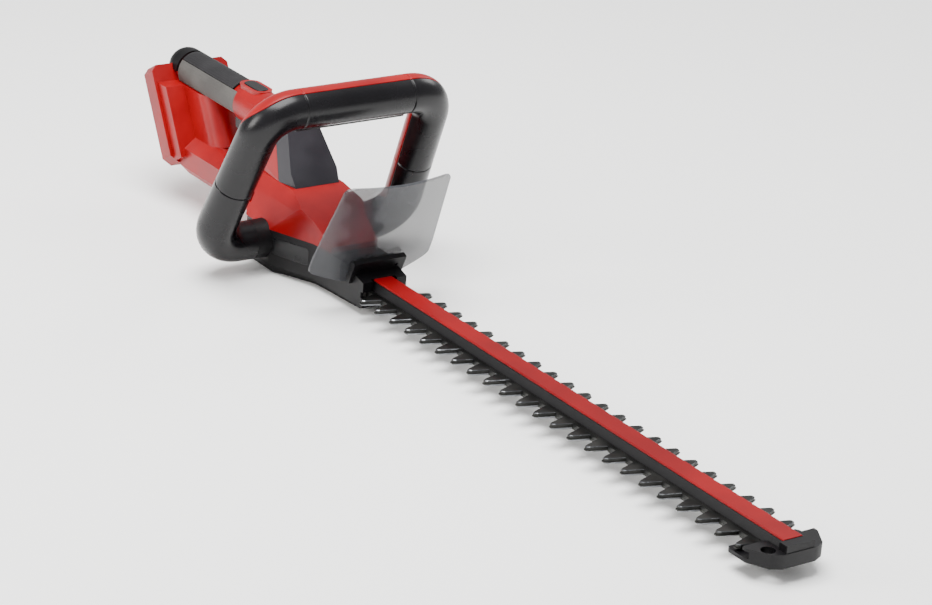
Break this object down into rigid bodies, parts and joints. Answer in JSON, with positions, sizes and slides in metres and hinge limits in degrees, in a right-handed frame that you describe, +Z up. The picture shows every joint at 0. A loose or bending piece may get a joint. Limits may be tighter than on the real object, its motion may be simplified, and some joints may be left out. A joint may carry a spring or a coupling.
{
  "type": "cordless hedge trimmer",
  "caption": "Battery hedge trimmer: two sliding toothed blades under a covered rail, gearbox and motor housing, rear D-handle, front loop handle and clear hand shield.",
  "frame": {"origin": "middle of the flat resting face under the gear housing", "axes": "+X along the blades to their tip, +Y to the user's left, +Z up"},
  "size_m": [0.877, 0.2154, 0.178],
  "materials": {
    "red_plastic": "satin moulded",
    "red_rail": "satin coat",
    "black_plastic": "fine moulded grain",
    "cover_plastic": "satin moulded",
    "black_rubber": "soft grip, fine grain",
    "grey_rubber": "soft grip, fine grain",
    "switch_plastic": "fine moulded grain",
    "smoked_sheet": "clear smoked sheet",
    "blade_steel": "dark ground steel",
    "dark_steel": "blackened",
    "bright_steel": "bright",
    "screw_steel": "dark zinc",
    "cast_aluminium": "die cast",
    "gear_bronze": "sintered",
    "can_steel": "zinc plated",
    "copper_winding": "lacquered wire",
    "contact_brass": "bright",
    "green_board": "satin",
    "lead_cover": "smooth",
    "felt": "felt"
  },
  "bodies": {
    "frame": {"guide_bar": "dark_steel", "bar_channel": "black_plastic", "bar_cover": "red_rail", "guide_bolts": "bright_steel", "guide_nuts": "bright_steel", "tip_guard": "black_plastic", "tip_guard_screws": "screw_steel", "gear_housing": "black_plastic", "base_plate": "cast_aluminium", "base_screws": "screw_steel", "bar_screws": "screw_steel", "gear_frame": "cast_aluminium", "blade_seal": "felt", "crank_bearings": "bright_steel", "motor_can": "can_steel", "motor_bearings": "bright_steel", "motor_end_cap": "black_plastic", "brush_holders": "contact_brass", "right_shell": "red_plastic", "left_shell": "red_plastic", "shell_screws": "screw_steel", "motor_cover": "cover_plastic", "grip_top": "black_rubber", "grip_side_right": "grey_rubber", "grip_side_left": "grey_rubber", "grip_end_cap": "black_plastic", "lock_bezel": "red_plastic", "lock_spring": "bright_steel", "trigger_pin": "bright_steel", "trigger_spring": "bright_steel", "main_switch": "switch_plastic", "control_board": "green_board", "battery_seat": "red_plastic", "terminal_block": "black_plastic", "terminals": "contact_brass", "power_leads": "lead_cover", "loop_front": "black_plastic", "loop_rear": "red_plastic", "loop_screws": "screw_steel", "bar_springs": "bright_steel", "loop_switch": "switch_plastic", "shield": "smoked_sheet", "shield_screws": "screw_steel"},
    "rotor": {"motor_rotor": "copper_winding", "motor_fan": "black_plastic", "motor_pinion": "bright_steel"},
    "crank": {"crankshaft": "bright_steel", "crank_gear": "gear_bronze", "upper_eccentric": "bright_steel", "lower_eccentric": "bright_steel"},
    "upper_blade": {"upper_blade": "blade_steel"},
    "lower_blade": {"lower_blade": "blade_steel"},
    "trigger": {"trigger": "switch_plastic"},
    "lock_button": {"lock_button": "switch_plastic"},
    "switch_bar": {"switch_bar": "switch_plastic"}
  },
  "joints": [
    {"name": "rotor_spin", "type": "hinge", "parent": "frame", "child": "rotor", "pos_m": [-0.066, 0, 0.06], "axis": [0, 0, 1], "range_deg": [-407, 407]},
    {"name": "crank_spin", "type": "hinge", "parent": "frame", "child": "crank", "pos_m": [-0.033, 0, 0.03], "axis": [0, 0, 1], "range_deg": [-90.5, 90.5]},
    {"name": "upper_blade_slide", "type": "slide", "parent": "frame", "child": "upper_blade", "axis": [1, 0, 0], "range_m": [-0.008, 0.008]},
    {"name": "lower_blade_slide", "type": "slide", "parent": "frame", "child": "lower_blade", "axis": [1, 0, 0], "range_m": [-0.00805, 0.00805]},
    {"name": "trigger_pull", "type": "hinge", "parent": "frame", "child": "trigger", "pos_m": [-0.106, 0, 0.101], "axis": [0, 1, 0], "range_deg": [0, 8], "stiffness_Nm_per_rad": 0.5, "springref_deg": -4.58, "deforming": ["trigger_spring"]},
    {"name": "lock_press", "type": "slide", "parent": "frame", "child": "lock_button", "axis": [0, 0, -1], "range_m": [0, 0.003], "stiffness_N_per_m": 600, "springref_m": -0.002, "deforming": ["lock_spring"]},
    {"name": "bar_press", "type": "slide", "parent": "frame", "child": "switch_bar", "axis": [0.4256, 0, 0.9049], "range_m": [0, 0.003], "stiffness_N_per_m": 1500, "springref_m": -0.002, "deforming": ["bar_springs"]}
  ],
  "couplings": [
    {"joint": "rotor_spin", "follows": "upper_blade_slide", "rad_per_m": 883.57},
    {"joint": "crank_spin", "follows": "upper_blade_slide", "rad_per_m": -196.35},
    {"joint": "lower_blade_slide", "follows": "upper_blade_slide", "ratio": -1}
  ]
}
